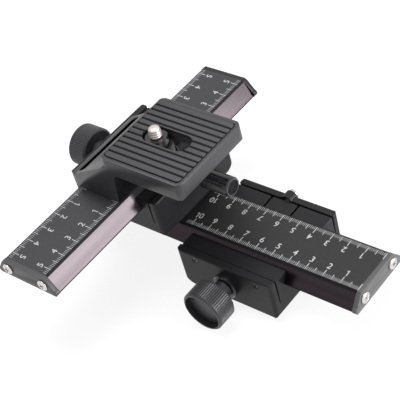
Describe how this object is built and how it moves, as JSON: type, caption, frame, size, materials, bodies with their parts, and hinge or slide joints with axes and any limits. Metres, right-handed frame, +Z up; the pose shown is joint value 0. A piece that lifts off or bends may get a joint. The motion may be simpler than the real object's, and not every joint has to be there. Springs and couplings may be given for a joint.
{
  "type": "macro focusing rail",
  "caption": "Two-axis macro focusing rail with crossed dovetail slides, rack and pinion knobs, lock screws and a raised ribbed camera platform.",
  "frame": {"origin": "mouth of the tripod socket, in the middle of the lower carriage's foot", "axes": "+X along the lower rail towards its zero end, +Y along the upper rail away from the lower drive knob, +Z up"},
  "size_m": [0.1867, 0.1644, 0.09],
  "materials": {
    "black_casting": "satin black paint over the casting",
    "anodised_rail": "matt dark anodised",
    "grey_platform": "satin dark grey paint over the casting",
    "end_cap_grey": "matt grey anodised",
    "knob_black": "satin black anodised",
    "disc_grey": "satin grey",
    "rubber": "matt ribbed",
    "chrome": "polished",
    "steel": "turned",
    "brass": "turned",
    "dark_steel": "blackened"
  },
  "bodies": {
    "lower_carriage_body": {"lower_carriage": "black_casting", "tripod_bushing": "brass", "lower_shaft_collar": "dark_steel", "lower_adjusting_screws": "steel"},
    "lower_drive": {"lower_pinion_shaft": "steel", "lower_drive_knob": "knob_black", "lower_knob_disc": "disc_grey"},
    "lower_lock": {"lower_lock_screw": "chrome"},
    "lower_slide": {"lower_rail": "anodised_rail", "lower_rack": "steel", "lower_end_caps": "end_cap_grey", "lower_cap_screws": "chrome", "joint_screws": "steel", "upper_carriage": "black_casting", "upper_shaft_collar": "dark_steel", "upper_adjusting_screws": "steel"},
    "upper_drive": {"upper_pinion_shaft": "steel", "upper_drive_knob": "knob_black", "upper_knob_disc": "disc_grey"},
    "upper_lock": {"upper_lock_stud": "steel", "upper_lock_knob": "knob_black", "upper_lock_disc": "disc_grey"},
    "upper_slide": {"upper_rail": "anodised_rail", "upper_rack": "steel", "upper_end_caps": "end_cap_grey", "upper_cap_screws": "chrome", "camera_platform": "grey_platform", "platform_screws": "steel", "rubber_pad": "rubber"},
    "screw_carrier": {"camera_screw_collar": "dark_steel"},
    "camera_screw_body": {"camera_screw": "chrome", "camera_screw_knob": "knob_black"}
  },
  "joints": [
    {"name": "lower_slide_x", "type": "slide", "parent": "lower_carriage_body", "child": "lower_slide", "axis": [1, 0, 0], "range_m": [-0.039, 0.058]},
    {"name": "upper_slide_y", "type": "slide", "parent": "lower_slide", "child": "upper_slide", "axis": [0, 1, 0], "range_m": [-0.035, 0.062]},
    {"name": "lower_drive_turn", "type": "hinge", "parent": "lower_carriage_body", "child": "lower_drive", "pos_m": [0, 0, 0.0145], "axis": [0, 1, 0], "range_deg": [-450, 690]},
    {"name": "upper_drive_turn", "type": "hinge", "parent": "lower_slide", "child": "upper_drive", "pos_m": [-0.065, 0, 0.0425], "axis": [1, 0, 0], "range_deg": [-715, 430]},
    {"name": "lower_lock_turn", "type": "hinge", "parent": "lower_carriage_body", "child": "lower_lock", "pos_m": [0, 0.03, 0.0234], "axis": [0, 1, 0], "range_deg": [0, 540]},
    {"name": "upper_lock_turn", "type": "hinge", "parent": "lower_slide", "child": "upper_lock", "pos_m": [-0.035, 0, 0.0514], "axis": [1, 0, 0], "range_deg": [0, 540]},
    {"name": "camera_screw_slide", "type": "slide", "parent": "upper_slide", "child": "screw_carrier", "axis": [1, 0, 0], "range_m": [-0.001, 0.0153]},
    {"name": "camera_screw_turn", "type": "hinge", "parent": "screw_carrier", "child": "camera_screw_body", "pos_m": [-0.0383, -0.0124, 0.076], "axis": [0, 0, 1], "continuous": true}
  ],
  "couplings": [
    {"joint": "lower_drive_turn", "follows": "lower_slide_x", "rad_per_m": 200},
    {"joint": "upper_drive_turn", "follows": "upper_slide_y", "rad_per_m": -200}
  ]
}
